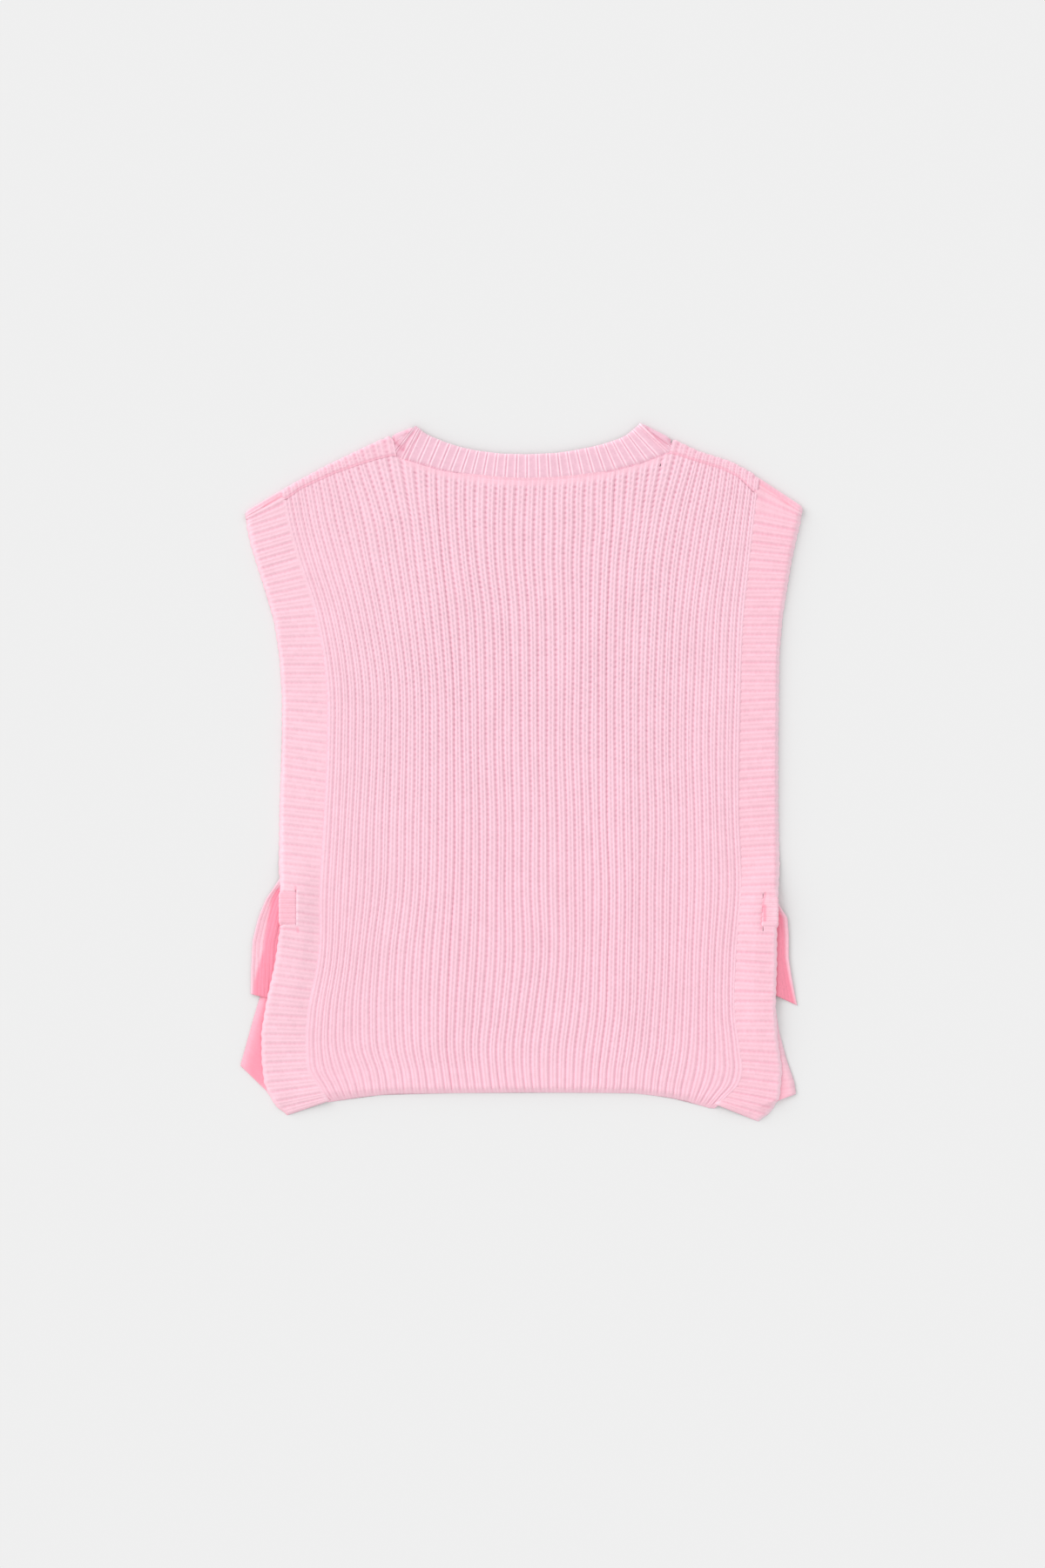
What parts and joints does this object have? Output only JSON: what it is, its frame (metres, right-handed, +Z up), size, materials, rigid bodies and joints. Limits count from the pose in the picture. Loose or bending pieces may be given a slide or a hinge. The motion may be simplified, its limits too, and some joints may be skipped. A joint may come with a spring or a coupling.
{
  "type": "knitted sweater vest, laid flat",
  "caption": "Chunky rib-knit open-sided vest laid flat with its back up: neckband, cross-ribbed side trims with slits, and knitted straps through them.",
  "frame": {"origin": "on the ground, under the middle of the vest's outline as it lies", "axes": "+X to the right as seen from above with the neck at the top, +Y from the hem to the neck, +Z up from the surface that it lies on"},
  "size_m": [0.4562, 0.5626, 0.01],
  "materials": {
    "body_knit": "matt chunky rib knit, light pink",
    "trim_knit": "matt rib knit, light pink",
    "strap_knit": "matt fine rib knit, deeper pink"
  },
  "bodies": {
    "root": {"back_panel": "body_knit", "front_panel": "body_knit", "neckband": "trim_knit", "trim_left": "trim_knit", "trim_right": "trim_knit", "strap_left_pass": "strap_knit", "strap_left_end": "strap_knit", "strap_right_pass": "strap_knit", "strap_right_end": "strap_knit"}
  },
  "joints": []
}
